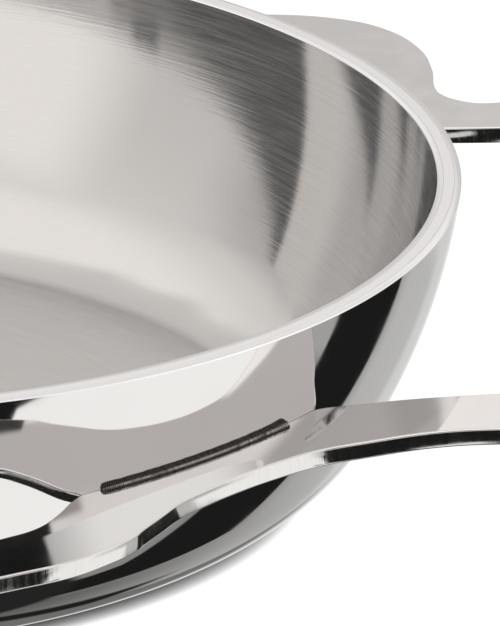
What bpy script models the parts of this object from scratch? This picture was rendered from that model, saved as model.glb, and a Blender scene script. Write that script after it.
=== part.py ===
"""Egg pan: a shallow three-ply pan with two flat plate handles welded to its wall.

Metres, +Z up. The origin is the centre of the base, on the surface that the pan stands on.
The loops of the two handles point along +X and -X, and the left handle is the right one
turned half round. Angles are measured from +X towards +Y, seen from above.
"""
import math

import bmesh
import bpy
from mathutils import Matrix

MM = 0.001

# Pan body: its outer side is three arcs that run into the flat base
RIM_RADIUS = 82.75 * MM
PAN_HEIGHT = 35.5 * MM
RIM_LEAN = math.radians(7.0)
WALL_END_LEAN = math.radians(29.2)
KNEE_END_LEAN = math.radians(65.6)
KNEE_RADIUS = 21.9 * MM
CORNER_RADIUS = 6.75 * MM

# Layers of the pressed blank, from the outside in
OUTER_STEEL = 0.65 * MM
ALUMINIUM = 0.95 * MM
INNER_STEEL = 0.60 * MM
BOND_GAP = 0.30 * MM

# Rim: a narrow bevel outside and a broken edge inside
RIM_BEVEL_WIDTH = 0.50 * MM
RIM_BEVEL_DROP = 0.20 * MM
LIP_BEVEL_WIDTH = 0.25 * MM
LIP_BEVEL_DROP = 0.40 * MM

# Handle plates, which rise outwards from the wall
HANDLE_THICKNESS = 2.0 * MM
HANDLE_EDGE_BEVEL = 0.25 * MM
HANDLE_DROP = 10.7 * MM
HANDLE_RISE = math.radians(4.57)
SEAT_CLEARANCE = 0.30 * MM

# Outline of the right handle as (angle in degrees, reach beyond the wall in outline units).
# It runs from the front foot, round the front ear and the grip loop, to the rear ear.
OUTLINE_UNIT = 1.0 * MM
FRONT_EAR = [(-98.5, 2.8), (-97.5, 8.8), (-94.0, 14.3), (-88.5, 17.6), (-82.0, 18.8),
             (-75.0, 18.2), (-70.0, 17.5), (-66.0, 17.0), (-63.3, 16.0), (-60.3, 13.8),
             (-57.4, 10.7)]
WELD_WAIST = [(-54.1, 7.4), (-50.5, 5.9), (-45.0, 6.7), (-41.5, 8.1), (-38.1, 11.2)]
GRIP_OUTSIDE = [(-34.3, 16.4), (-32.2, 22.1), (-30.6, 29.4), (-28.3, 36.2), (-24.2, 41.1),
                (-19.0, 42.5), (-12.8, 40.9), (-5.8, 37.5), (1.0, 36.4), (7.7, 38.4),
                (13.7, 41.8), (19.3, 43.3), (24.2, 41.1), (28.1, 36.1), (30.6, 29.8)]
REAR_NOTCH = [(32.5, 23.4), (33.3, 21.5), (34.6, 20.4), (36.6, 20.2), (38.1, 21.3)]
REAR_EAR = [(40.9, 25.1), (44.5, 29.3), (49.0, 32.2), (52.5, 32.2), (56.8, 29.9),
            (60.0, 27.0), (63.0, 22.6), (66.5, 15.8), (69.0, 7.8), (70.0, 1.8)]

# Openings of the right handle, in the same measure; the pan's wall closes their inner side
GRIP_OPENING = [(-37.3, -0.6), (-35.4, -0.2), (-33.9, 1.1), (-31.7, 3.5), (-30.2, 6.1),
                (-28.0, 11.5), (-26.4, 16.6), (-24.9, 22.6), (-22.8, 27.6), (-19.3, 30.0),
                (-14.3, 29.0), (-6.5, 25.8), (1.1, 24.7), (8.1, 26.4), (14.2, 29.7),
                (19.1, 31.0), (23.3, 29.3), (26.3, 24.4), (28.1, 18.8), (30.3, 13.8),
                (33.4, 8.3), (36.1, 4.4), (38.1, 1.5), (39.4, -0.2)]
FRONT_EAR_OPENING = [(-59.5, -0.9), (-61.3, 0.7), (-62.8, 2.8), (-64.2, 4.3), (-68.6, 6.0),
                     (-74.0, 7.6), (-80.0, 8.6), (-85.5, 7.8), (-89.0, 4.8), (-90.5, 0.8)]
REAR_EAR_HOLE_ANGLE = 50.0
REAR_EAR_HOLE_REACH = 7.8 * MM
REAR_EAR_HOLE_RADIUS = 11.5 * MM

# How far the drawn outlines run on behind the wall, where the wall's shape trims them
OPENING_OVERRUN = 5.0 * MM
PLATE_OVERRUN = 12.0 * MM
OVERRUN_STEP = 12.0

# Weld beads of the right handle as (name, first angle, last angle)
BEAD_RADIUS = 0.60 * MM
RIGHT_WELDS = [("front_foot", -97.0, -92.3), ("front_long", -57.6, -38.6),
               ("rear_short", 40.2, 43.8), ("rear_long", 57.0, 68.5)]
BEAD_POINT_STEP = 1.6

# Smoothness
TURN_STEPS = 64
WALL_STEPS = 3
KNEE_STEPS = 2
CORNER_STEPS = 3
OUTLINE_STEPS = 4
BEAD_SIDES_RESOLUTION = 1
MERGE = 0.00001

# The upper arc takes what the two lower arcs leave of the height
WALL_RADIUS_OF_ARC = (
    PAN_HEIGHT
    - KNEE_RADIUS * (math.sin(KNEE_END_LEAN) - math.sin(WALL_END_LEAN))
    - CORNER_RADIUS * (1.0 - math.sin(KNEE_END_LEAN))
) / (math.sin(WALL_END_LEAN) - math.sin(RIM_LEAN))


def clear_scene():
    for old in list(bpy.data.objects):
        bpy.data.objects.remove(old, do_unlink=True)


def new_collection(name):
    collection = bpy.data.collections.new(name)
    bpy.context.scene.collection.children.link(collection)
    return collection


def metal(name, colour, roughness):
    material = bpy.data.materials.new(name)
    material.use_nodes = True
    shader = material.node_tree.nodes["Principled BSDF"]
    shader.inputs["Base Color"].default_value = (*colour, 1.0)
    shader.inputs["Metallic"].default_value = 1.0
    shader.inputs["Roughness"].default_value = roughness
    return material


def add_object(name, data, collection, material=None):
    created = bpy.data.objects.new(name, data)
    collection.objects.link(created)
    if material is not None:
        data.materials.append(material)
    return created


def wall_arcs():
    """The arcs of the pan's outside as (centre radius, centre height, radius, end lean, steps)."""
    upper_r = RIM_RADIUS - WALL_RADIUS_OF_ARC * math.cos(RIM_LEAN)
    upper_z = PAN_HEIGHT + WALL_RADIUS_OF_ARC * math.sin(RIM_LEAN)
    step_in = WALL_RADIUS_OF_ARC - KNEE_RADIUS
    knee_r = upper_r + step_in * math.cos(WALL_END_LEAN)
    knee_z = upper_z - step_in * math.sin(WALL_END_LEAN)
    step_in = KNEE_RADIUS - CORNER_RADIUS
    corner_r = knee_r + step_in * math.cos(KNEE_END_LEAN)
    corner_z = knee_z - step_in * math.sin(KNEE_END_LEAN)
    return [
        (upper_r, upper_z, WALL_RADIUS_OF_ARC, WALL_END_LEAN, WALL_STEPS),
        (knee_r, knee_z, KNEE_RADIUS, KNEE_END_LEAN, KNEE_STEPS),
        (corner_r, corner_z, CORNER_RADIUS, math.pi / 2, CORNER_STEPS),
    ]


def lean_at(depth, inset=0.0):
    """Lean of the wall at a depth below the rim, on the surface `inset` inside the outer one."""
    rise = WALL_RADIUS_OF_ARC * math.sin(RIM_LEAN) + depth
    return math.asin(rise / (WALL_RADIUS_OF_ARC - inset))


def wall_radius(depth, inset=0.0):
    """Radius of the upper wall at a depth below the rim."""
    centre = RIM_RADIUS - WALL_RADIUS_OF_ARC * math.cos(RIM_LEAN)
    return centre + (WALL_RADIUS_OF_ARC - inset) * math.cos(lean_at(depth, inset))


def surface(inset, drop=0.0):
    """Points (radius, height) down the wall and in to the axis, `inset` inside the outer side."""
    points = []
    lean = lean_at(drop, inset)
    for centre_r, centre_z, radius, end_lean, steps in wall_arcs():
        for step in range(steps):
            angle = lean + (end_lean - lean) * step / steps
            reach = radius - inset
            points.append((centre_r + reach * math.cos(angle), centre_z - reach * math.sin(angle)))
        lean = end_lean
    points.append((centre_r, inset))
    points.append((0.0, inset))
    return points


def turned(name, profile, collection, material=None):
    """A solid of revolution; the profile runs down its outer side and ends on the axis."""
    mesh = bpy.data.meshes.new(name)
    mesh.from_pydata([(r, 0.0, z) for r, z in profile],
                     [(i, i + 1) for i in range(len(profile) - 1)], [])
    created = add_object(name, mesh, collection, material)
    screw = created.modifiers.new("turn", "SCREW")
    screw.axis = "Z"
    screw.steps = TURN_STEPS
    screw.render_steps = TURN_STEPS
    screw.use_merge_vertices = True
    screw.merge_threshold = MERGE
    screw.use_smooth_shade = True
    return created


def layer(name, outer_inset, thickness, collection, material, bevel=None, lip=None):
    """One layer of the pan; `bevel` breaks its outer rim edge and `lip` its inner one."""
    outer_width, outer_drop = bevel or (0.0, 0.0)
    lip_width, lip_drop = lip or (0.0, 0.0)
    inner_inset = outer_inset + thickness
    rim = []
    if lip:
        rim.append((wall_radius(0.0, inner_inset) + lip_width, PAN_HEIGHT))
    if bevel:
        rim.append((wall_radius(0.0, outer_inset) - outer_width, PAN_HEIGHT))
    inner_side = surface(inner_inset, lip_drop)[::-1]
    outer_side = surface(outer_inset, outer_drop)
    return turned(name, inner_side + rim + outer_side, collection, material)


def make_pan(collection, steel, satin, aluminium):
    layer("outer_steel_layer", 0.0, OUTER_STEEL, collection, steel,
          bevel=(RIM_BEVEL_WIDTH, RIM_BEVEL_DROP))
    core_inset = OUTER_STEEL + BOND_GAP
    layer("aluminium_core", core_inset, ALUMINIUM, collection, aluminium)
    inner_inset = core_inset + ALUMINIUM + BOND_GAP
    layer("inner_steel_layer", inner_inset, INNER_STEEL, collection, satin,
          lip=(LIP_BEVEL_WIDTH, LIP_BEVEL_DROP))


def make_wall_cutter(collection):
    """The pan's outside grown by the seat clearance, which trims the handle plates."""
    profile = [(0.0, PAN_HEIGHT + SEAT_CLEARANCE)] + surface(-SEAT_CLEARANCE)
    cutter = turned("wall_cutter", profile, collection)
    cutter.hide_render = True
    cutter.display_type = "WIRE"
    return cutter


def plan_point(angle, reach):
    """Plan position of a point `reach` beyond the wall at the handle's height."""
    radius = wall_radius(HANDLE_DROP) + reach
    return radius * math.cos(math.radians(angle)), radius * math.sin(math.radians(angle))


def inner_run(first, last, reach):
    """Evenly spaced points behind the wall, from one angle to the other."""
    count = max(2, round(abs(last - first) / OVERRUN_STEP))
    return [plan_point(first + (last - first) * i / count, reach) for i in range(count + 1)]


def plate_outline():
    edge = FRONT_EAR + WELD_WAIST + GRIP_OUTSIDE + REAR_NOTCH + REAR_EAR
    return ([plan_point(angle, reach * OUTLINE_UNIT) for angle, reach in edge]
            + inner_run(edge[-1][0], edge[0][0], -PLATE_OVERRUN))


def opening_outline(edge):
    return ([plan_point(angle, reach * OUTLINE_UNIT) for angle, reach in edge]
            + inner_run(edge[-1][0], edge[0][0], -OPENING_OVERRUN))


def hole_outline():
    centre_x, centre_y = plan_point(REAR_EAR_HOLE_ANGLE, REAR_EAR_HOLE_REACH)
    quarter_points = [(1, 0), (0, 1), (-1, 0), (0, -1)]
    return [(centre_x + REAR_EAR_HOLE_RADIUS * x, centre_y + REAR_EAR_HOLE_RADIUS * y)
            for x, y in quarter_points]


def add_smooth_spline(curve, points, steps):
    spline = curve.splines.new("BEZIER")
    spline.bezier_points.add(len(points) - 1)
    for knot, (x, y) in zip(spline.bezier_points, points):
        knot.co = (x, y, 0.0)
        knot.handle_left_type = "AUTO"
        knot.handle_right_type = "AUTO"
    spline.use_cyclic_u = True
    spline.resolution_u = steps


def handle_tilt():
    """Places the flat plate: its top is HANDLE_DROP below the rim where it meets the wall at +X."""
    seat = Matrix.Translation((wall_radius(HANDLE_DROP), 0.0, PAN_HEIGHT - HANDLE_DROP))
    tilt = Matrix.Rotation(-HANDLE_RISE, 4, "Y")
    sink = Matrix.Translation((-wall_radius(HANDLE_DROP), 0.0, -HANDLE_THICKNESS / 2))
    return seat @ tilt @ sink


def plate_mesh(collection):
    """The plate as one closed mesh, with its cut edges broken, before the wall trims it."""
    curve = bpy.data.curves.new("handle_outline", "CURVE")
    curve.dimensions = "2D"
    curve.fill_mode = "BOTH"
    curve.extrude = HANDLE_THICKNESS / 2 - HANDLE_EDGE_BEVEL
    curve.bevel_depth = HANDLE_EDGE_BEVEL
    curve.bevel_resolution = 0
    curve.offset = -HANDLE_EDGE_BEVEL
    add_smooth_spline(curve, plate_outline(), OUTLINE_STEPS)
    add_smooth_spline(curve, opening_outline(GRIP_OPENING), OUTLINE_STEPS)
    add_smooth_spline(curve, opening_outline(FRONT_EAR_OPENING), OUTLINE_STEPS)
    add_smooth_spline(curve, hole_outline(), 2 * OUTLINE_STEPS)
    drawn = add_object("handle_outline", curve, collection)
    bpy.context.view_layer.update()
    evaluated = drawn.evaluated_get(bpy.context.evaluated_depsgraph_get())
    mesh = bpy.data.meshes.new_from_object(evaluated)
    bpy.data.objects.remove(drawn, do_unlink=True)
    shape = bmesh.new()
    shape.from_mesh(mesh)
    bmesh.ops.remove_doubles(shape, verts=shape.verts, dist=MERGE)
    bmesh.ops.transform(shape, matrix=handle_tilt(), verts=shape.verts)
    bmesh.ops.recalc_face_normals(shape, faces=shape.faces)
    shape.to_mesh(mesh)
    shape.free()
    return mesh


def make_handles(collection, wall_cutter, steel):
    mesh = plate_mesh(collection)
    mesh.materials.append(steel)
    for name, turn in (("right_handle_plate", 0.0), ("left_handle_plate", math.pi)):
        plate = add_object(name, mesh, collection)
        plate.rotation_euler.z = turn
        trim = plate.modifiers.new("trim_to_wall", "BOOLEAN")
        trim.operation = "DIFFERENCE"
        trim.object = wall_cutter
        trim.solver = "EXACT"


def bead_centre(angle):
    """Centre of the bead's section, clear of the wall and of the plate's top face."""
    stand_off = BEAD_RADIUS + SEAT_CLEARANCE
    direction = math.radians(angle)
    radius = wall_radius(HANDLE_DROP)
    for _ in range(6):
        beyond_seat = radius * math.cos(direction) - wall_radius(HANDLE_DROP)
        height = (PAN_HEIGHT - HANDLE_DROP + beyond_seat * math.tan(HANDLE_RISE)
                  + stand_off / math.cos(HANDLE_RISE))
        depth = PAN_HEIGHT - height
        radius = wall_radius(depth) + stand_off / math.cos(lean_at(depth))
    return radius * math.cos(direction), radius * math.sin(direction), height


def bead_curve(name, first, last):
    curve = bpy.data.curves.new(name, "CURVE")
    curve.dimensions = "3D"
    curve.bevel_depth = BEAD_RADIUS
    curve.bevel_resolution = BEAD_SIDES_RESOLUTION
    curve.use_fill_caps = True
    count = max(2, round((last - first) / BEAD_POINT_STEP))
    spline = curve.splines.new("POLY")
    spline.points.add(count)
    for i, point in enumerate(spline.points):
        point.co = (*bead_centre(first + (last - first) * i / count), 1.0)
    return curve


def make_welds(collection, weld_metal):
    for place, first, last in RIGHT_WELDS:
        curve = bead_curve(place, first, last)
        curve.materials.append(weld_metal)
        for side, turn in (("right", 0.0), ("left", math.pi)):
            bead = add_object(f"{side}_weld_{place}", curve, collection)
            bead.rotation_euler.z = turn


def main():
    clear_scene()
    parts = new_collection("egg_pan")
    cutters = new_collection("cutters")
    polished = metal("polished_steel", (0.72, 0.71, 0.70), 0.05)
    satin = metal("satin_steel", (0.70, 0.68, 0.66), 0.30)
    aluminium = metal("aluminium", (0.80, 0.80, 0.81), 0.40)
    weld_metal = metal("dark_weld_metal", (0.10, 0.09, 0.08), 0.35)
    make_pan(parts, polished, satin, aluminium)
    wall_cutter = make_wall_cutter(cutters)
    make_handles(parts, wall_cutter, polished)
    make_welds(parts, weld_metal)


main()
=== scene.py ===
"""Looks of the egg pan: polished and satin steel in a plain studio, seen as in the photograph.

Metres, +Z up, with the origin at the centre of the base. Angles are measured from +X towards
+Y, seen from above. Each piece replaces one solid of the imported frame, in the same place, and
the left handle is the right one turned half round.
"""

import math
from typing import NamedTuple

import bmesh
import bpy
from mathutils import Matrix, Vector


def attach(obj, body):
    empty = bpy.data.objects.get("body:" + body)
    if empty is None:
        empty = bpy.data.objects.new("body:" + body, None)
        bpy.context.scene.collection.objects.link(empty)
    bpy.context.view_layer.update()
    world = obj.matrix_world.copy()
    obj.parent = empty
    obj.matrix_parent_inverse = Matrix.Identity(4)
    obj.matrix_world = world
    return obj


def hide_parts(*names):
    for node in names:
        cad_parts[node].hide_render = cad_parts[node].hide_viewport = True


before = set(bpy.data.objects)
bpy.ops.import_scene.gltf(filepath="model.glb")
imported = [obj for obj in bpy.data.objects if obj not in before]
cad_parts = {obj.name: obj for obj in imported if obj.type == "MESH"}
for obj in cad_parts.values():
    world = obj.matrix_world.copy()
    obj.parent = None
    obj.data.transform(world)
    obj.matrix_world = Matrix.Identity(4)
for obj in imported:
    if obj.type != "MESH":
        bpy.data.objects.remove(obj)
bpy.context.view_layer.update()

MM = 0.001

# Pan body: three arcs that run into the flat base
RIM_RADIUS = 82.75 * MM
PAN_HEIGHT = 35.5 * MM
RIM_LEAN = math.radians(7.0)
WALL_END_LEAN = math.radians(29.2)
KNEE_END_LEAN = math.radians(65.6)
KNEE_RADIUS = 21.9 * MM
CORNER_RADIUS = 6.75 * MM
WALL_ARC_RADIUS = (
    PAN_HEIGHT
    - KNEE_RADIUS * (math.sin(KNEE_END_LEAN) - math.sin(WALL_END_LEAN))
    - CORNER_RADIUS * (1.0 - math.sin(KNEE_END_LEAN))
) / (math.sin(WALL_END_LEAN) - math.sin(RIM_LEAN))

# Layers of the wall, with the fine joint that shows between them on the rim
WALL_THICKNESS = 2.80 * MM
OUTER_SKIN = 0.85 * MM
INNER_SKIN = 0.72 * MM
JOINT_WIDTH = 0.02 * MM
JOINT_DROP = 0.02 * MM

# Soft edges of the rim, outside and inside
RIM_BEVEL_WIDTH = 0.50 * MM
RIM_BEVEL_DROP = 0.20 * MM
LIP_BEVEL_WIDTH = 0.10 * MM
LIP_BEVEL_DROP = 0.12 * MM
RIM_CORNER_WIDTH = RIM_BEVEL_WIDTH / 2
RIM_CORNER_DROP = RIM_BEVEL_DROP / 3
LIP_CORNER_WIDTH = LIP_BEVEL_WIDTH / 5
LIP_CORNER_DROP = LIP_BEVEL_DROP / 5
RIM_FINISH_SHARE = 0.9

# A narrow first row of faces keeps the rim's shading off the wall
SHADING_GUARD = 0.04 * MM

# Handle plates
HANDLE_THICKNESS = 2.0 * MM
HANDLE_EDGE_BEVEL = 0.25 * MM
HANDLE_DROP = 10.7 * MM
HANDLE_RISE = math.radians(4.57)
SEAT_CLEARANCE = 0.03 * MM
HALF_TURNS = (("right", 0.0), ("left", math.pi))

# Outlines of the plate as (angle in degrees, reach out from the wall in the unit given here)
OUTLINE_UNIT = 1.0 * MM
OUTLINE_SAFETY = 0.05 * MM
FRONT_EAR = [(-98.5, 2.8), (-97.5, 8.8), (-94.0, 14.3), (-88.5, 17.6), (-82.0, 18.8),
             (-75.0, 18.2), (-70.0, 17.5), (-66.0, 17.0), (-63.3, 15.8), (-60.4, 13.9),
             (-59.4, 12.7), (-57.0, 10.4)]
WELD_WAIST = [(-54.6, 8.4), (-51.5, 7.2), (-48.5, 6.7), (-45.0, 6.9), (-41.5, 8.1),
              (-38.1, 11.2)]
GRIP_OUTSIDE = [(-34.3, 16.4), (-32.2, 22.1), (-30.6, 29.4), (-28.3, 36.2), (-24.2, 41.1),
                (-19.0, 42.5), (-12.8, 40.9), (-5.8, 37.5), (1.0, 36.4), (7.7, 38.4),
                (13.7, 41.8), (19.3, 43.3), (24.2, 41.1), (28.1, 36.1), (30.6, 29.8)]
REAR_NOTCH = [(32.5, 23.4), (33.3, 21.5), (34.6, 20.4), (36.6, 20.2), (38.1, 21.3)]
REAR_EAR = [(40.9, 25.1), (44.5, 29.3), (49.0, 32.2), (52.5, 32.2), (56.8, 29.9),
            (60.0, 27.0), (63.0, 22.6), (66.5, 15.8), (69.0, 7.8), (70.0, 1.8)]
GRIP_OPENING = [(-35.5, -1.7), (-33.6, 0.2), (-31.7, 3.5), (-30.2, 6.1),
                (-28.0, 11.5), (-26.4, 16.6), (-24.9, 22.6), (-22.8, 27.6), (-19.3, 30.0),
                (-14.3, 29.0), (-6.5, 25.8), (1.1, 24.7), (8.1, 26.4), (14.2, 29.7),
                (19.1, 31.0), (23.3, 29.3), (26.3, 24.4), (28.1, 18.8), (30.3, 13.8),
                (33.4, 8.3), (36.1, 4.4), (38.1, 1.5), (39.4, -0.2)]
FRONT_EAR_OPENING = [(-59.0, -2.2), (-61.0, 0.0), (-63.5, 3.1), (-65.7, 5.2), (-68.6, 6.1),
                     (-74.0, 7.6), (-80.0, 8.6), (-85.5, 7.8), (-89.0, 4.8), (-90.5, 0.8)]
REAR_EAR_HOLE_ANGLE = 50.0
REAR_EAR_HOLE_REACH = 7.8 * MM
REAR_EAR_HOLE_RADIUS = 11.5 * MM

# How far the outlines run on under the wall before they are trimmed, and the step in degrees
OPENING_OVERRUN = 5.0 * MM
PLATE_OVERRUN = 12.0 * MM
OVERRUN_STEP = 12.0

# Weld beads of the right handle as (name, first angle, last angle)
RIGHT_WELDS = [("front_foot", -97.0, -92.3), ("front_long", -57.6, -38.2),
               ("rear_short", 40.2, 43.8), ("rear_long", 57.0, 68.5)]

# Shape of a bead: wider than high, round at its ends and thicker towards its last angle
BEAD_RADIUS = 0.50 * MM
BEAD_WIDENING = 1.08
BEAD_FLATTENING = 0.92
BEAD_OUTWARD = 0.22 * MM
BEAD_UPWARD = 0.10 * MM
BEAD_END_ROUND = 0.50 * MM
BEAD_END_TIP = 0.02
BEAD_FLARE = 0.30
BEAD_FLARE_LENGTH = 2.2 * MM

# Ripples of a bead, and the band round it where a highlight is painted on the ripple crests
BEAD_RIPPLE_PITCH = 0.25 * MM
BEAD_RIPPLE_DEPTH = 0.10
BEAD_RIPPLE_DRIFT = 0.8
BEAD_UNEVENNESS = 0.05
BEAD_UNEVENNESS_PACE = 0.8
BEAD_UNEVENNESS_SEED = 2.0
BEAD_HIGHLIGHT_TURN = math.radians(32.0)
BEAD_HIGHLIGHT_WIDTH = math.radians(13.0)

# Irregular wave along a bead as (radians per millimetre, size, share of the seed)
WOBBLE_WAVES = [(3.1, 1.0, 1.0), (7.3, 0.6, 2.1), (17.9, 0.4, 0.7)]

# Smoothness
TURN_STEPS = 360
OUTSIDE_ARC_STEPS = 24
INSIDE_ARC_STEPS = 16
HIDDEN_ARC_STEPS = 6
BOTTOM_RINGS = (0.75, 0.5, 0.25)
ROUNDING_STEPS = 5
OUTLINE_STEPS = 14
PLATE_BEVEL_STEPS = 3
BEAD_SIDES = 36
BEAD_STATIONS_PER_RIPPLE = 6
SEAT_ROUNDS = 8
MERGE_REACH = 0.001 * MM
PAN_SHARP_ANGLE = math.radians(35)
PLATE_SHARP_ANGLE = math.radians(40)
FLAT_FACE_FACING = 0.999
CUT_EDGE_FACING = 0.3

# Colours of the metals as (darker, lighter)
POLISHED_STEEL = ((0.81, 0.801, 0.799, 1.0), (0.87, 0.860, 0.858, 1.0))
SATIN_STEEL = ((0.54, 0.534, 0.528, 1.0), (0.70, 0.692, 0.685, 1.0))
RIM_STEEL = ((0.88, 0.895, 0.93, 1.0), (0.96, 0.97, 0.99, 1.0))
RIM_ALUMINIUM = ((0.92, 0.93, 0.95, 1.0), (0.98, 0.985, 1.0, 1.0))
CUT_STEEL = ((0.74, 0.73, 0.72, 1.0), (0.88, 0.87, 0.865, 1.0))
DARK_WELD = ((0.006, 0.005, 0.005, 1.0), (0.11, 0.10, 0.095, 1.0))
# Pale colour of the highlight painted along the crests of the bead's ripples
WELD_PAINTED_HIGHLIGHT = (1.0, 0.97, 0.93, 1.0)

# Roughness as (least, most), and where the values of a noise begin and end
NOISE_RANGE = (0.3, 0.7)
SMEAR_RANGE = (0.3, 0.75)
POLISHED_ROUGHNESS = (0.025, 0.06)
SATIN_ROUGHNESS = (0.035, 0.06)
RIM_ROUGHNESS = (0.14, 0.22)
CUT_ROUGHNESS = (0.06, 0.13)
WELD_ROUGHNESS = (0.22, 0.36)
BOTTOM_ROUGHNESS = (0.19, 0.0)
MOTTLED_ROUGHNESS = 0.02

# Size of the grain in each metal, as features per metre
POLISH_CLOUDS = 60.0
POLISH_SMEARS = 240.0
POLISH_WAVES = 45.0
FINE_BRUSHING = 9000.0
COARSE_BRUSHING = 2200.0
MOTTLING = 30.0
RIM_RINGS = 14000.0
CUT_LINES_ACROSS = 2600.0
CUT_LINES_UPRIGHT = 260.0
CUT_PATCHES = 140.0
WELD_GRAIN = 2200.0
# Patches that break the bead's painted highlight into dots
HIGHLIGHT_PATCHES = 500.0

# Brushing: how often its lines break off in a radian round the axis, how height counts beside
# radius, and how far it draws reflections out
FINE_BREAKS = 9.0
COARSE_BREAKS = 5.0
RIM_BREAKS = 6.0
HEIGHT_WEIGHT = 1.3
AXIS_GUARD = 1.0 * MM
SATIN_ANISOTROPY = 0.93
RIM_ANISOTROPY = 0.3
QUARTER_TURN = 0.25
FINE_SHARE = 0.6

# How metallic the satin is between its lines and on them, and the dark weld and its painted
# highlight
SATIN_LINE_RANGE = (0.35, 0.65)
SATIN_METALLIC = (0.96, 0.80)
WELD_METALLIC = (1.0, 0.4)

# Patches of the cut edge and of the weld's painted highlight, as (values of the noise) and (share
# there)
CUT_PATCH_RANGE = (0.42, 0.62)
CUT_PATCH_DEPTH = (0.25, 1.0)
HIGHLIGHT_PATCH_RANGE = (0.35, 0.6)
HIGHLIGHT_PATCH_SHARE = (0.35, 1.5)

# Height of the surface grain as (depth, strength)
POLISH_RELIEF = (0.02 * MM, 0.35)
FINE_RELIEF = (0.01 * MM, 0.15)
COARSE_RELIEF = (0.03 * MM, 0.14)
RIM_RELIEF = (0.01 * MM, 0.2)
CUT_RELIEF = (0.06 * MM, 0.08)
WELD_RELIEF = (0.04 * MM, 0.4)

# Heights between which the flat bottom's coarser finish fades out
BOTTOM_FINISH_FADE = (WALL_THICKNESS + 0.4 * MM, WALL_THICKNESS + 2.6 * MM)

# Camera, read from the photograph
CAMERA_PLACE = Vector((58.8, -1876.6, 700.0)) * MM
CAMERA_PITCH = math.radians(19.956)
CAMERA_ROLL = math.radians(1.088)
CAMERA_LENS = 1000.0
CAMERA_SENSOR = 36.0
CAMERA_NEAR = 0.1
CAMERA_FAR = 60.0

# Floor: how much of it is lit by the room, and how far the pan's contact shadow reaches
FLOOR_HALF_SIZE = 6.0
FLOOR_DROP = 0.05 * MM
FLOOR_COLOUR = (0.97, 0.97, 0.97, 1.0)
FLOOR_LIT_SHARE = 0.12
FLOOR_WHITE = 1.09
CONTACT_SHADOW_REACH = 1.6 * MM

# Studio: tints below and above the horizon, and the directions straight down and up
WHITE = (1.0, 1.0, 1.0, 1.0)
LOW_TINT = (1.0, 0.998, 0.977, 1.0)
HIGH_TINT = (1.0, 0.960, 0.928, 1.0)
TINT_CHANGE = (-8.0, 4.0)
DOWN = -200
UP = 200


class Card(NamedTuple):
    """A pale or dark card that the metal mirrors, in degrees as seen from the pan.

    The ends are its bottom and top. The slant lifts them with the azimuth.
    """

    azimuths: tuple
    elevations: tuple
    side_softness: float
    end_softness: float
    brightness: float
    slant: float = 0.0


# The studio as reflections see it; a later card covers an earlier one
STUDIO_BASE = 0.95
CEILING = [
    Card((-180, 180), (36, UP), 0.1, 28.0, 1.28),
]
LEFT_AND_BEHIND = [
    Card((136, 203), (DOWN, 19), 24.0, 20.0, 0.84),
    Card((136, 174), (DOWN, 19), 20.0, 16.0, 0.61),
    Card((60, 127), (28, UP), 12.0, 5.0, 0.79),
    Card((60, 138), (40, UP), 14.0, 6.0, 0.79),
    Card((60, 146), (50, UP), 16.0, 8.0, 0.79),
    Card((60, 132), (19, 26), 6.0, 5.0, 0.95),
    Card((104, 132), (19, 30), 16.0, 6.0, 1.08),
    Card((145, 167), (DOWN, 10), 12.0, 8.0, 0.30),
    Card((-154, -118), (DOWN, 32), 20.0, 10.0, 1.27),
]
RIGHT_HIGH = [
    Card((-46, 44), (44.5, 60), 4.0, 2.0, 0.61),
    Card((2, 46), (28, 90), 2.0, 1.5, 0.61, -1.0),
]
BEHIND_LOW = [
    Card((60, 135), (-14, 19.5), 8.0, 1.0, 0.62),
    Card((49.5, 100), (DOWN, -22), 0.8, 4.0, 0.52),
    Card((70, 82), (-32, -18), 6.0, 6.0, 0.66),
    Card((82, 130), (-32, -18), 8.0, 6.0, 0.80),
    Card((76, 130), (DOWN, -30), 2.0, 8.0, 0.17),
    Card((49.5, 76), (DOWN, -45), 0.8, 36.0, 0.12),
    Card((70, 78), (DOWN, -43), 3.0, 3.0, 0.015),
]
RIGHT_LEVEL = [
    Card((-46, 12), (DOWN, 31), 1.0, 4.0, 1.00),
    Card((-50, -37.5), (-14, 0), 12.0, 4.0, 0.60),
    Card((8, 49.5), (-21, 12.2), 6.0, 0.8, 0.55, 0.2),
    Card((30, 49.5), (-21, 12.2), 14.0, 0.8, 0.44, 0.2),
    Card((-4, 30), (-11, 12), 16.0, 2.0, 0.52),
    Card((12, 49.5), (DOWN, -22), 10.0, 6.0, 0.27),
    Card((14, 34), (-31.5, -21.5), 6.0, 3.0, 0.40),
]
FRONT_BLACK = [
    Card((-126, -42.3), (17, 46), 0.7, 2.5, 0.06, 0.08),
    Card((-126, -42.3), (DOWN, 0), 0.7, 1.0, 0.012),
    Card((-60, -24), (18.6, 31), 36.0, 1.0, 0.40),
    Card((-36, 2), (18, 31.5), 1.5, 1.0, 1.00),
    Card((-53, -42.3), (14.8, 19.6), 0.7, 0.6, 0.015),
    Card((-50, -40), (46, 60), 0.8, 1.5, 0.61),
]
LOW_BLACK = [
    Card((-60, -39.8), (-50, -13), 0.5, 1.0, 0.012),
    Card((26.5, 51), (-23, -5), 0.5, 2.0, 0.02),
    Card((-98, -60), (-60, -29), 4.0, 1.5, 0.85),
    Card((-48, -32), (-35, -28), 1.0, 0.5, 0.012, 0.4),
    Card((28.5, 49.5), (DOWN, -20), 0.8, 3.0, 0.012),
    Card((105, 200), (DOWN, -51), 8.0, 2.0, 0.02),
    Card((-180, 180), (DOWN, -60), 0.1, 2.0, 0.02),
]
STUDIO_CARDS = (CEILING + LEFT_AND_BEHIND + RIGHT_HIGH + BEHIND_LOW + RIGHT_LEVEL
                + FRONT_BLACK + LOW_BLACK)


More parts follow.
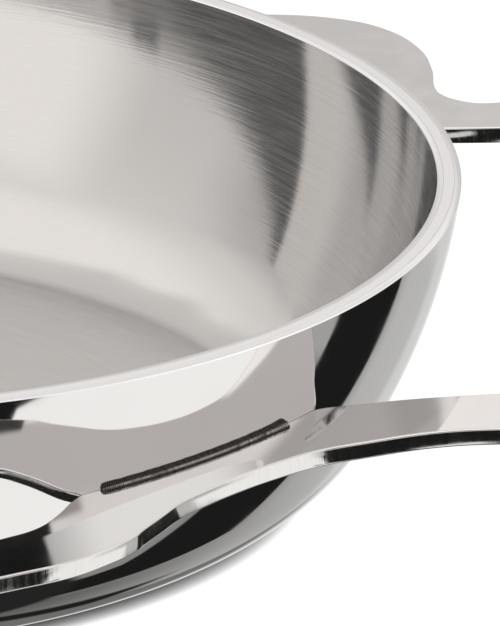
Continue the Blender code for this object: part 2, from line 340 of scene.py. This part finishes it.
class Nodes:
    """Short names for building one node tree."""

    def __init__(self, tree):
        self.tree = tree
        tree.nodes.clear()

    def add(self, kind, **inputs):
        node = self.tree.nodes.new(kind)
        for name, value in inputs.items():
            self.feed(node.inputs[name], value)
        return node

    def feed(self, socket, value):
        if isinstance(value, bpy.types.NodeSocket):
            self.tree.links.new(value, socket)
        else:
            socket.default_value = value

    def feed_all(self, sockets, values):
        for socket, value in zip(sockets, values):
            self.feed(socket, value)

    def math(self, operation, *values, clamp=False):
        node = self.tree.nodes.new("ShaderNodeMath")
        node.operation = operation
        node.use_clamp = clamp
        self.feed_all(node.inputs, values)
        return node.outputs[0]

    def sum(self, first, second):
        return self.math("ADD", first, second)

    def minus(self, first, second):
        return self.math("SUBTRACT", first, second)

    def times(self, first, second):
        return self.math("MULTIPLY", first, second)

    def smooth(self, value, start, end, low=0.0, high=1.0):
        """Goes from `low` at `start` to `high` at `end`."""
        node = self.tree.nodes.new("ShaderNodeMapRange")
        node.interpolation_type = "SMOOTHSTEP"
        self.feed_all(node.inputs, (value, start, end, low, high))
        return node.outputs[0]

    def within(self, distance, reach, softness):
        """1 where `distance` is inside `reach`, 0 beyond it, with a soft edge."""
        return self.smooth(distance, reach - softness / 2, reach + softness / 2, 1.0, 0.0)

    def blend(self, share, first, second):
        """A number between two others."""
        node = self.tree.nodes.new("ShaderNodeMix")
        node.data_type = "FLOAT"
        self.feed_all((node.inputs[0], node.inputs[2], node.inputs[3]), (share, first, second))
        return node.outputs[0]

    def blend_colour(self, share, first, second):
        node = self.tree.nodes.new("ShaderNodeMix")
        node.data_type = "RGBA"
        self.feed_all((node.inputs[0], node.inputs[6], node.inputs[7]), (share, first, second))
        return node.outputs[2]

    def noise(self, vector, scale, detail, roughness=0.5):
        node = self.add("ShaderNodeTexNoise", Vector=vector, Scale=scale, Detail=detail,
                        Roughness=roughness)
        return node.outputs["Fac"]

    def place(self):
        return self.add("ShaderNodeTexCoord").outputs["Object"]

    def parts_of(self, vector):
        return self.add("ShaderNodeSeparateXYZ", Vector=vector).outputs

    def vector(self, x, y, z):
        return self.add("ShaderNodeCombineXYZ", X=x, Y=y, Z=z).outputs[0]

    def bump(self, height, relief, under=None):
        """A normal with grain of the given (depth, strength), over another grain if given."""
        depth, strength = relief
        node = self.add("ShaderNodeBump", Height=height, Distance=depth, Strength=strength)
        if under is not None:
            self.feed(node.inputs["Normal"], under)
        return node.outputs["Normal"]


def wall_arcs():
    """The arcs of the pan's outside as (centre radius, centre height, radius, end lean)."""
    wall_r = RIM_RADIUS - WALL_ARC_RADIUS * math.cos(RIM_LEAN)
    wall_z = PAN_HEIGHT + WALL_ARC_RADIUS * math.sin(RIM_LEAN)
    step_in = WALL_ARC_RADIUS - KNEE_RADIUS
    knee_r = wall_r + step_in * math.cos(WALL_END_LEAN)
    knee_z = wall_z - step_in * math.sin(WALL_END_LEAN)
    step_in = KNEE_RADIUS - CORNER_RADIUS
    corner_r = knee_r + step_in * math.cos(KNEE_END_LEAN)
    corner_z = knee_z - step_in * math.sin(KNEE_END_LEAN)
    return [
        (wall_r, wall_z, WALL_ARC_RADIUS, WALL_END_LEAN),
        (knee_r, knee_z, KNEE_RADIUS, KNEE_END_LEAN),
        (corner_r, corner_z, CORNER_RADIUS, math.pi / 2),
    ]


def lean_at(depth, inset=0.0):
    """Lean of the wall at a depth below the rim, `inset` inside its outer side."""
    rise = WALL_ARC_RADIUS * math.sin(RIM_LEAN) + depth
    return math.asin(rise / (WALL_ARC_RADIUS - inset))


def wall_radius(depth, inset=0.0):
    """Distance of the wall from the axis at a depth below the rim."""
    centre = RIM_RADIUS - WALL_ARC_RADIUS * math.cos(RIM_LEAN)
    return centre + (WALL_ARC_RADIUS - inset) * math.cos(lean_at(depth, inset))


def surface(inset, drop, steps):
    """Points (radius, height) down the wall and in to the axis, `inset` inside the outer side."""
    points = [(wall_radius(drop, inset), PAN_HEIGHT - drop)]
    lean = lean_at(drop + SHADING_GUARD, inset)
    for centre_r, centre_z, radius, end_lean in wall_arcs():
        reach = radius - inset
        for step in range(steps):
            angle = lean + (end_lean - lean) * step / steps
            points.append((centre_r + reach * math.cos(angle), centre_z - reach * math.sin(angle)))
        lean = end_lean
    points.append((centre_r, inset))
    for share in BOTTOM_RINGS:
        points.append((centre_r * share, inset))
    points.append((0.0, inset))
    return points


def rounded(before, corner, after):
    """A soft corner between two edge points, as a quadratic curve."""
    points = []
    for step in range(ROUNDING_STEPS + 1):
        t = step / ROUNDING_STEPS
        points.append(tuple(
            (1 - t) ** 2 * b + 2 * t * (1 - t) * c + t * t * a
            for b, c, a in zip(before, corner, after)))
    return points


def new_piece(name, mesh, materials):
    piece = bpy.data.objects.new(name, mesh)
    bpy.context.scene.collection.objects.link(piece)
    for material in materials:
        mesh.materials.append(material)
    return piece


def turned_mesh(name, profile):
    """A solid of revolution; the profile starts and ends on the axis, inner side first."""
    ring_points = profile[1:-1]
    verts = [(0.0, 0.0, profile[0][1])]
    for radius, height in ring_points:
        for step in range(TURN_STEPS):
            turn = 2 * math.pi * step / TURN_STEPS
            verts.append((radius * math.cos(turn), radius * math.sin(turn), height))
    verts.append((0.0, 0.0, profile[-1][1]))
    last = len(verts) - 1
    last_ring = last - TURN_STEPS
    faces = []
    for step in range(TURN_STEPS):
        following = (step + 1) % TURN_STEPS
        faces.append((0, 1 + step, 1 + following))
        for near in range(1, last_ring, TURN_STEPS):
            far = near + TURN_STEPS
            faces.append((near + step, far + step, far + following, near + following))
        faces.append((last_ring + step, last, last_ring + following))
    mesh = bpy.data.meshes.new(name)
    mesh.from_pydata(verts, [], faces)
    mesh.shade_smooth()
    mesh.set_sharp_from_angle(angle=PAN_SHARP_ANGLE)
    return mesh


def give_rim(mesh, from_height):
    """Puts the second material on the faces above a height."""
    for face in mesh.polygons:
        if face.center.z > from_height:
            face.material_index = 1


def make_inner_skin(satin, rim):
    top_radius = wall_radius(0.0, WALL_THICKNESS)
    inner_edge = (wall_radius(LIP_BEVEL_DROP, WALL_THICKNESS), PAN_HEIGHT - LIP_BEVEL_DROP)
    corner = (top_radius + LIP_CORNER_WIDTH, PAN_HEIGHT - LIP_CORNER_DROP)
    top_edge = (top_radius + LIP_BEVEL_WIDTH, PAN_HEIGHT)
    skin_back = WALL_THICKNESS - INNER_SKIN
    far_top = (wall_radius(0.0, skin_back) - JOINT_WIDTH / 2, PAN_HEIGHT)
    profile = (surface(WALL_THICKNESS, LIP_BEVEL_DROP, INSIDE_ARC_STEPS)[::-1][:-1]
               + rounded(inner_edge, corner, top_edge)
               + [far_top]
               + surface(skin_back + JOINT_WIDTH / 2, JOINT_DROP, HIDDEN_ARC_STEPS))
    mesh = turned_mesh("inner_skin", profile)
    piece = new_piece("inner_skin", mesh, [satin, rim])
    give_rim(mesh, PAN_HEIGHT - LIP_BEVEL_DROP)
    return piece


def make_core(material):
    inner_side = surface(WALL_THICKNESS - INNER_SKIN - JOINT_WIDTH / 2, 0.0, HIDDEN_ARC_STEPS)
    outer_side = surface(OUTER_SKIN + JOINT_WIDTH / 2, 0.0, HIDDEN_ARC_STEPS)
    return new_piece("core", turned_mesh("core", inner_side[::-1] + outer_side), [material])


def make_outer_skin(polished, rim):
    skin_back = OUTER_SKIN - JOINT_WIDTH / 2
    top_edge = (RIM_RADIUS - RIM_BEVEL_WIDTH, PAN_HEIGHT)
    corner = (RIM_RADIUS - RIM_CORNER_WIDTH, PAN_HEIGHT - RIM_CORNER_DROP)
    outer_edge = (wall_radius(RIM_BEVEL_DROP), PAN_HEIGHT - RIM_BEVEL_DROP)
    profile = (surface(skin_back, JOINT_DROP, HIDDEN_ARC_STEPS)[::-1]
               + [(wall_radius(0.0, skin_back), PAN_HEIGHT)]
               + rounded(top_edge, corner, outer_edge)
               + surface(0.0, RIM_BEVEL_DROP, OUTSIDE_ARC_STEPS)[1:])
    mesh = turned_mesh("outer_skin", profile)
    piece = new_piece("outer_skin", mesh, [polished, rim])
    give_rim(mesh, PAN_HEIGHT - RIM_BEVEL_DROP * RIM_FINISH_SHARE)
    return piece


def plan_point(angle, reach):
    """A point of the plate seen from above, `reach` out from the wall."""
    radius = wall_radius(HANDLE_DROP) + reach
    return radius * math.cos(math.radians(angle)), radius * math.sin(math.radians(angle))


def outline(edge, overrun):
    """A closed outline: the edge, and a run back under the wall from its end to its start."""
    last = edge[-1][0]
    first = edge[0][0]
    count = max(2, round(abs(first - last) / OVERRUN_STEP))
    outside = [plan_point(angle, reach * OUTLINE_UNIT) for angle, reach in edge]
    inside = [plan_point(last + (first - last) * i / count, -overrun) for i in range(count + 1)]
    return outside + inside


def hole_outline():
    centre_x, centre_y = plan_point(REAR_EAR_HOLE_ANGLE, REAR_EAR_HOLE_REACH)
    return [(centre_x + REAR_EAR_HOLE_RADIUS * x, centre_y + REAR_EAR_HOLE_RADIUS * y)
            for x, y in [(1, 0), (0, 1), (-1, 0), (0, -1)]]


def add_smooth_spline(curve, points):
    spline = curve.splines.new("BEZIER")
    spline.bezier_points.add(len(points) - 1)
    for knot, (x, y) in zip(spline.bezier_points, points):
        knot.co = (x, y, 0.0)
        knot.handle_left_type = "AUTO"
        knot.handle_right_type = "AUTO"
    spline.use_cyclic_u = True
    spline.resolution_u = OUTLINE_STEPS


def handle_tilt():
    """Lifts a plate drawn on the floor to its seat and tilts it about its top at the wall."""
    seat = Matrix.Translation((wall_radius(HANDLE_DROP), 0.0, PAN_HEIGHT - HANDLE_DROP))
    tilt = Matrix.Rotation(-HANDLE_RISE, 4, "Y")
    sink = Matrix.Translation((-wall_radius(HANDLE_DROP), 0.0, -HANDLE_THICKNESS / 2))
    return seat @ tilt @ sink


def plate_normal():
    return Vector((-math.sin(HANDLE_RISE), 0.0, math.cos(HANDLE_RISE)))


def evaluated_mesh(thing):
    bpy.context.view_layer.update()
    evaluated = thing.evaluated_get(bpy.context.evaluated_depsgraph_get())
    return bpy.data.meshes.new_from_object(evaluated)


def plate_curve():
    """The plate's outline and openings, to be thickened with rounded edges."""
    curve = bpy.data.curves.new("handle_outline", "CURVE")
    curve.dimensions = "2D"
    curve.fill_mode = "BOTH"
    curve.extrude = HANDLE_THICKNESS / 2 - HANDLE_EDGE_BEVEL
    curve.bevel_depth = HANDLE_EDGE_BEVEL
    curve.bevel_resolution = PLATE_BEVEL_STEPS
    curve.offset = -HANDLE_EDGE_BEVEL - OUTLINE_SAFETY
    edge = FRONT_EAR + WELD_WAIST + GRIP_OUTSIDE + REAR_NOTCH + REAR_EAR
    add_smooth_spline(curve, outline(edge, PLATE_OVERRUN))
    add_smooth_spline(curve, outline(GRIP_OPENING, OPENING_OVERRUN))
    add_smooth_spline(curve, outline(FRONT_EAR_OPENING, OPENING_OVERRUN))
    add_smooth_spline(curve, hole_outline())
    return curve


def drawn_plate():
    """The whole plate as a closed mesh at its seat, still running on under the wall."""
    drawn = bpy.data.objects.new("handle_outline", plate_curve())
    bpy.context.scene.collection.objects.link(drawn)
    mesh = evaluated_mesh(drawn)
    bpy.data.objects.remove(drawn, do_unlink=True)
    shape = bmesh.new()
    shape.from_mesh(mesh)
    bmesh.ops.remove_doubles(shape, verts=shape.verts, dist=MERGE_REACH)
    bmesh.ops.transform(shape, matrix=handle_tilt(), verts=shape.verts)
    bmesh.ops.recalc_face_normals(shape, faces=shape.faces)
    shape.to_mesh(mesh)
    shape.free()
    return mesh


def trimmed_to_wall(mesh):
    """Cuts away what lies inside the pan, with a small clearance to the wall."""
    wall = surface(-SEAT_CLEARANCE, 0.0, INSIDE_ARC_STEPS)
    cutter_mesh = turned_mesh("wall_cutter", [(0.0, PAN_HEIGHT + SEAT_CLEARANCE)] + wall)
    cutter = new_piece("wall_cutter", cutter_mesh, [])
    raw = new_piece("raw_plate", mesh, [])
    trim = raw.modifiers.new("trim", "BOOLEAN")
    trim.operation = "DIFFERENCE"
    trim.object = cutter
    trim.solver = "EXACT"
    cut = evaluated_mesh(raw)
    bpy.data.objects.remove(raw, do_unlink=True)
    bpy.data.objects.remove(cutter, do_unlink=True)
    return cut


def make_plates(polished, cut_edge):
    mesh = trimmed_to_wall(drawn_plate())
    mesh.materials.clear()
    mesh.materials.append(polished)
    mesh.materials.append(cut_edge)
    mesh.shade_smooth()
    mesh.set_sharp_from_angle(angle=PLATE_SHARP_ANGLE)
    up = plate_normal()
    for face in mesh.polygons:
        facing = abs(face.normal.dot(up))
        face.use_smooth = facing < FLAT_FACE_FACING
        face.material_index = 1 if facing < CUT_EDGE_FACING else 0
    plates = []
    for side, turn in HALF_TURNS:
        own = mesh.copy()
        own.transform(Matrix.Rotation(turn, 4, "Z"))
        plates.append(new_piece(f"{side}_plate", own, []))
    return plates


def seat_corner(angle):
    """Where the plate's top meets the wall, found by closing in on it."""
    direction = math.radians(angle)
    seat = wall_radius(HANDLE_DROP)
    radius = seat
    for _ in range(SEAT_ROUNDS):
        beyond_seat = radius * math.cos(direction) - seat
        height = PAN_HEIGHT - HANDLE_DROP + beyond_seat * math.tan(HANDLE_RISE)
        radius = wall_radius(PAN_HEIGHT - height)
    return Vector((radius * math.cos(direction), radius * math.sin(direction), height))


def wobble(position, seed):
    """A smooth irregular number between -1 and 1 along a bead."""
    height = sum(size * math.sin(position * pace + share * seed)
                 for pace, size, share in WOBBLE_WAVES)
    return height / sum(size for _, size, _ in WOBBLE_WAVES)


def bead_radius(along, length, ripple, seed):
    """The bead's radius at a point along it."""
    from_end = min(1.0, min(along, length - along) / BEAD_END_ROUND)
    end_round = math.sqrt(max(0.0, 1 - (1 - from_end) ** 2))
    uneven = wobble(along / MM * BEAD_UNEVENNESS_PACE, seed + BEAD_UNEVENNESS_SEED)
    flare = BEAD_FLARE * math.exp(-((length - along) / BEAD_FLARE_LENGTH) ** 2)
    size = 1.0 + BEAD_RIPPLE_DEPTH * ripple + BEAD_UNEVENNESS * uneven + flare
    return BEAD_RADIUS * max(BEAD_END_TIP, end_round) * size


def bead_ring(corner, size):
    """Points round the bead at one station."""
    outward = Vector((corner.x, corner.y, 0.0)).normalized()
    up = plate_normal()
    centre = corner + outward * BEAD_OUTWARD + up * BEAD_UPWARD
    ring = []
    for side in range(BEAD_SIDES):
        turn = 2 * math.pi * side / BEAD_SIDES
        aside = outward * (size * BEAD_WIDENING * math.cos(turn))
        ring.append(centre + aside + up * (size * BEAD_FLATTENING * math.sin(turn)))
    return ring


def painted_highlight_ring(ripple):
    """How much painted highlight each point round the bead gets: most on the crest of a ripple."""
    ring = []
    for side in range(BEAD_SIDES):
        turn = 2 * math.pi * side / BEAD_SIDES
        from_highlight = (turn - BEAD_HIGHLIGHT_TURN + math.pi) % (2 * math.pi) - math.pi
        ring.append(max(0.0, ripple) * math.exp(-(from_highlight / BEAD_HIGHLIGHT_WIDTH) ** 2))
    return ring


def bead_faces(stations):
    """Faces between the rings of a bead, and its two ends."""
    faces = []
    for near in range(0, stations * BEAD_SIDES, BEAD_SIDES):
        for side in range(BEAD_SIDES):
            a = near + side
            b = near + (side + 1) % BEAD_SIDES
            faces.append((a, b, b + BEAD_SIDES, a + BEAD_SIDES))
    faces.append(tuple(reversed(range(BEAD_SIDES))))
    faces.append(tuple(range(stations * BEAD_SIDES, (stations + 1) * BEAD_SIDES)))
    return faces


def bead_mesh(name, first, last, seed):
    """A rippled fillet of weld metal laid in the corner between plate and wall."""
    length = math.radians(last - first) * wall_radius(HANDLE_DROP)
    stations = round(length / BEAD_RIPPLE_PITCH * BEAD_STATIONS_PER_RIPPLE)
    verts = []
    painted_highlight = []
    for station in range(stations + 1):
        along = length * station / stations
        drift = BEAD_RIPPLE_DRIFT * wobble(along / MM, seed)
        ripple = math.sin(2 * math.pi * along / BEAD_RIPPLE_PITCH + drift)
        corner = seat_corner(first + (last - first) * station / stations)
        verts += bead_ring(corner, bead_radius(along, length, ripple, seed))
        painted_highlight += painted_highlight_ring(ripple)
    mesh = bpy.data.meshes.new(name)
    mesh.from_pydata(verts, [], bead_faces(stations))
    shape = bmesh.new()
    shape.from_mesh(mesh)
    bmesh.ops.recalc_face_normals(shape, faces=shape.faces)
    shape.to_mesh(mesh)
    shape.free()
    # Share of painted highlight at each point, read by the weld material
    mesh.attributes.new("painted_highlight", "FLOAT", "POINT").data.foreach_set("value", painted_highlight)
    mesh.shade_smooth()
    return mesh


def make_beads(weld_metal):
    """The beads of both handles, each with the name of the node it stands for."""
    beads = []
    for order, (place, first, last) in enumerate(RIGHT_WELDS):
        mesh = bead_mesh(place, first, last, 1.0 + order)
        for side, turn in HALF_TURNS:
            own = mesh.copy()
            own.transform(Matrix.Rotation(turn, 4, "Z"))
            piece = new_piece(f"{side}_bead_{place}", own, [weld_metal])
            beads.append((piece, f"{side}_weld_{place}"))
    return beads


def new_material(name):
    material = bpy.data.materials.new(name)
    material.use_nodes = True
    return material, Nodes(material.node_tree)


def finish_metal(nodes, colour, roughness, normal, metallic=1.0, anisotropy=0.0):
    """Joins up the shader of a metal; an anisotropic one is brushed round the pan's axis."""
    shader = nodes.add("ShaderNodeBsdfPrincipled", Metallic=metallic, Roughness=roughness,
                       Normal=normal)
    nodes.feed(shader.inputs["Base Color"], colour)
    if anisotropy:
        tangent = nodes.add("ShaderNodeTangent")
        tangent.direction_type = "RADIAL"
        tangent.axis = "Z"
        nodes.feed(shader.inputs["Tangent"], tangent.outputs[0])
        shader.inputs["Anisotropic"].default_value = anisotropy
        shader.inputs["Anisotropic Rotation"].default_value = QUARTER_TURN
    output = nodes.add("ShaderNodeOutputMaterial")
    nodes.feed(output.inputs["Surface"], shader.outputs[0])


def polished_material():
    """Mirror-polished steel with the slight waviness and hairlines of buffing."""
    material, nodes = new_material("mirror_polished_steel")
    place = nodes.place()
    cloud = nodes.noise(place, POLISH_CLOUDS, detail=2.0)
    colour = nodes.blend_colour(cloud, *POLISHED_STEEL)
    smear = nodes.noise(place, POLISH_SMEARS, detail=4.0)
    roughness = nodes.smooth(smear, *SMEAR_RANGE, *POLISHED_ROUGHNESS)
    normal = nodes.bump(nodes.noise(place, POLISH_WAVES, detail=1.0), POLISH_RELIEF)
    finish_metal(nodes, colour, roughness, normal)
    return material


def brushing(nodes, fineness, breaks, detail, roughness):
    """Noise drawn out round the pan's axis, as brushing on a turning wheel leaves it."""
    x, y, z = nodes.parts_of(nodes.place())
    radius = nodes.math("SQRT", nodes.sum(nodes.times(x, x), nodes.times(y, y)))
    across = nodes.times(nodes.sum(radius, nodes.times(z, HEIGHT_WEIGHT)), fineness)
    from_axis = nodes.math("MAXIMUM", radius, AXIS_GUARD)
    around_x = nodes.times(nodes.math("DIVIDE", x, from_axis), breaks)
    around_y = nodes.times(nodes.math("DIVIDE", y, from_axis), breaks)
    return nodes.noise(nodes.vector(around_x, around_y, across), 1.0, detail, roughness)


def satin_material():
    """Inside of the pan: brushed round the axis, coarser on the flat bottom than up the wall."""
    material, nodes = new_material("satin_brushed_steel")
    fine = brushing(nodes, FINE_BRUSHING, FINE_BREAKS, detail=4.0, roughness=0.65)
    coarse = brushing(nodes, COARSE_BRUSHING, COARSE_BREAKS, detail=3.0, roughness=0.6)
    tone = nodes.sum(nodes.times(fine, FINE_SHARE), nodes.times(coarse, 1.0 - FINE_SHARE))
    colour = nodes.blend_colour(tone, *SATIN_STEEL)
    place = nodes.place()
    height = nodes.parts_of(place)[2]
    bottom = nodes.smooth(height, *BOTTOM_FINISH_FADE, *BOTTOM_ROUGHNESS)
    mottling = nodes.times(nodes.noise(place, MOTTLING, detail=2.0), MOTTLED_ROUGHNESS)
    wall_roughness = nodes.smooth(tone, *NOISE_RANGE, *SATIN_ROUGHNESS)
    roughness = nodes.sum(wall_roughness, nodes.sum(mottling, bottom))
    normal = nodes.bump(coarse, COARSE_RELIEF, nodes.bump(fine, FINE_RELIEF))
    metallic = nodes.smooth(tone, *SATIN_LINE_RANGE, *SATIN_METALLIC)
    finish_metal(nodes, colour, roughness, normal, metallic, SATIN_ANISOTROPY)
    return material


def rim_material(name, colours):
    """The ground rim: bright satin with fine rings."""
    material, nodes = new_material(name)
    rings = brushing(nodes, RIM_RINGS, RIM_BREAKS, detail=3.0, roughness=0.6)
    colour = nodes.blend_colour(rings, *colours)
    roughness = nodes.smooth(rings, *NOISE_RANGE, *RIM_ROUGHNESS)
    normal = nodes.bump(rings, RIM_RELIEF)
    finish_metal(nodes, colour, roughness, normal, anisotropy=RIM_ANISOTROPY)
    return material


def cut_edge_material():
    """The cut edge of the plates: upright striations left by the cut."""
    material, nodes = new_material("cut_edge_steel")
    place = nodes.place()
    x, y, z = nodes.parts_of(place)
    drawn_out = nodes.vector(nodes.times(x, CUT_LINES_ACROSS), nodes.times(y, CUT_LINES_ACROSS),
                             nodes.times(z, CUT_LINES_UPRIGHT))
    lines = nodes.noise(drawn_out, 1.0, detail=3.0, roughness=0.6)
    patches = nodes.noise(place, CUT_PATCHES, detail=2.0)
    depth = nodes.smooth(patches, *CUT_PATCH_RANGE, *CUT_PATCH_DEPTH)
    colour = nodes.blend_colour(lines, *CUT_STEEL)
    roughness = nodes.smooth(lines, *NOISE_RANGE, *CUT_ROUGHNESS)
    normal = nodes.bump(nodes.times(lines, depth), CUT_RELIEF)
    finish_metal(nodes, colour, roughness, normal)
    return material


def weld_material():
    """Dark weld metal, with a bright highlight painted along the crests of the ripples."""
    material, nodes = new_material("dark_weld_metal")
    place = nodes.place()
    grain = nodes.noise(place, WELD_GRAIN, detail=3.0, roughness=0.6)
    # Dark weld metal, its tone varied by grain
    scale = nodes.blend_colour(grain, *DARK_WELD)
    # Painted highlight: a pale, less metallic colour mixed in along the ripple crests and broken
    # up by patches
    highlight_mask = nodes.add("ShaderNodeAttribute")
    highlight_mask.attribute_name = "painted_highlight"
    patches = nodes.noise(place, HIGHLIGHT_PATCHES, detail=2.0)
    patchy_highlight = nodes.smooth(patches, *HIGHLIGHT_PATCH_RANGE, *HIGHLIGHT_PATCH_SHARE)
    painted_highlight = nodes.math("MULTIPLY", highlight_mask.outputs["Fac"], patchy_highlight, clamp=True)
    colour = nodes.blend_colour(painted_highlight, scale, WELD_PAINTED_HIGHLIGHT)
    roughness = nodes.smooth(grain, *NOISE_RANGE, *WELD_ROUGHNESS)
    normal = nodes.bump(grain, WELD_RELIEF)
    finish_metal(nodes, colour, roughness, normal, nodes.blend(painted_highlight, *WELD_METALLIC))
    return material


def floor_material():
    """Plain white floor that keeps the pan's soft shadow."""
    material, nodes = new_material("white_floor")
    lit = nodes.add("ShaderNodeBsdfDiffuse", Color=FLOOR_COLOUR)
    contact = nodes.add("ShaderNodeAmbientOcclusion", Distance=CONTACT_SHADOW_REACH)
    glow = nodes.times(contact.outputs["AO"], FLOOR_WHITE)
    white = nodes.add("ShaderNodeEmission", Color=WHITE, Strength=glow)
    path = nodes.add("ShaderNodeLightPath")
    white_share = nodes.times(path.outputs["Is Camera Ray"], 1.0 - FLOOR_LIT_SHARE)
    mix = nodes.add("ShaderNodeMixShader")
    nodes.feed_all(mix.inputs, (white_share, lit.outputs[0], white.outputs[0]))
    nodes.add("ShaderNodeOutputMaterial", Surface=mix.outputs[0])
    return material


def make_floor():
    half = FLOOR_HALF_SIZE
    square = [(-half, -half), (half, -half), (half, half), (-half, half)]
    corners = [(x, y, -FLOOR_DROP) for x, y in square]
    mesh = bpy.data.meshes.new("floor")
    mesh.from_pydata(corners, [], [(0, 1, 2, 3)])
    floor = new_piece("floor", mesh, [floor_material()])
    floor.visible_glossy = False


def card_mask(nodes, azimuth, elevation, card):
    """Share of a direction that a card covers; azimuths may run on past half a turn."""
    half_width = (card.azimuths[1] - card.azimuths[0]) / 2
    half_height = (card.elevations[1] - card.elevations[0]) / 2
    from_middle = nodes.minus(azimuth, sum(card.azimuths) / 2)
    aside = nodes.math("WRAP", from_middle, 180.0, -180.0)
    lifted = nodes.minus(elevation, nodes.times(aside, card.slant))
    above = nodes.minus(lifted, sum(card.elevations) / 2)
    beside = nodes.within(nodes.math("ABSOLUTE", aside), half_width, card.side_softness)
    level = nodes.within(nodes.math("ABSOLUTE", above), half_height, card.end_softness)
    return nodes.times(beside, level)


def make_studio():
    """Even white for the camera and for matt surfaces, and pale and dark cards in the metal."""
    world = bpy.data.worlds.new("studio")
    bpy.context.scene.world = world
    world.use_nodes = True
    world.cycles.sampling_method = "NONE"
    nodes = Nodes(world.node_tree)
    x, y, z = nodes.parts_of(nodes.add("ShaderNodeTexCoord").outputs["Generated"])
    azimuth = nodes.times(nodes.math("ARCTAN2", y, x), math.degrees(1.0))
    elevation = nodes.times(nodes.math("ARCSINE", z), math.degrees(1.0))
    brightness = STUDIO_BASE
    for card in STUDIO_CARDS:
        covered = card_mask(nodes, azimuth, elevation, card)
        brightness = nodes.blend(covered, brightness, card.brightness)
    path = nodes.add("ShaderNodeLightPath")
    plain = nodes.math("MAXIMUM", path.outputs["Is Camera Ray"], path.outputs["Is Diffuse Ray"])
    tint = nodes.blend_colour(nodes.smooth(elevation, *TINT_CHANGE), LOW_TINT, HIGH_TINT)
    background = nodes.add("ShaderNodeBackground",
                           Color=nodes.blend_colour(plain, tint, WHITE),
                           Strength=nodes.blend(plain, brightness, 1.0))
    nodes.add("ShaderNodeOutputWorld", Surface=background.outputs[0])


def make_camera():
    data = bpy.data.cameras.new("camera")
    data.lens = CAMERA_LENS
    data.sensor_width = CAMERA_SENSOR
    data.clip_start = CAMERA_NEAR
    data.clip_end = CAMERA_FAR
    camera = bpy.data.objects.new("camera", data)
    bpy.context.scene.collection.objects.link(camera)
    camera.matrix_world = (Matrix.Translation(CAMERA_PLACE)
                           @ Matrix.Rotation(math.pi / 2 - CAMERA_PITCH, 4, "X")
                           @ Matrix.Rotation(CAMERA_ROLL, 4, "Z"))
    bpy.context.scene.camera = camera


def stand_for(piece, node):
    """Puts a piece in a node's place, on the pan's only body."""
    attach(piece, "root")
    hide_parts(node)


def main():
    bpy.context.scene.view_settings.view_transform = "Standard"
    make_camera()
    make_studio()
    make_floor()
    polished = polished_material()
    rim = rim_material("ground_steel_rim", RIM_STEEL)
    core_rim = rim_material("ground_core_rim", RIM_ALUMINIUM)
    stand_for(make_inner_skin(satin_material(), rim), "inner_steel_layer")
    stand_for(make_core(core_rim), "aluminium_core")
    stand_for(make_outer_skin(polished, rim), "outer_steel_layer")
    right_plate, left_plate = make_plates(polished, cut_edge_material())
    stand_for(right_plate, "right_handle_plate")
    stand_for(left_plate, "left_handle_plate")
    for bead, node in make_beads(weld_material()):
        stand_for(bead, node)


main()
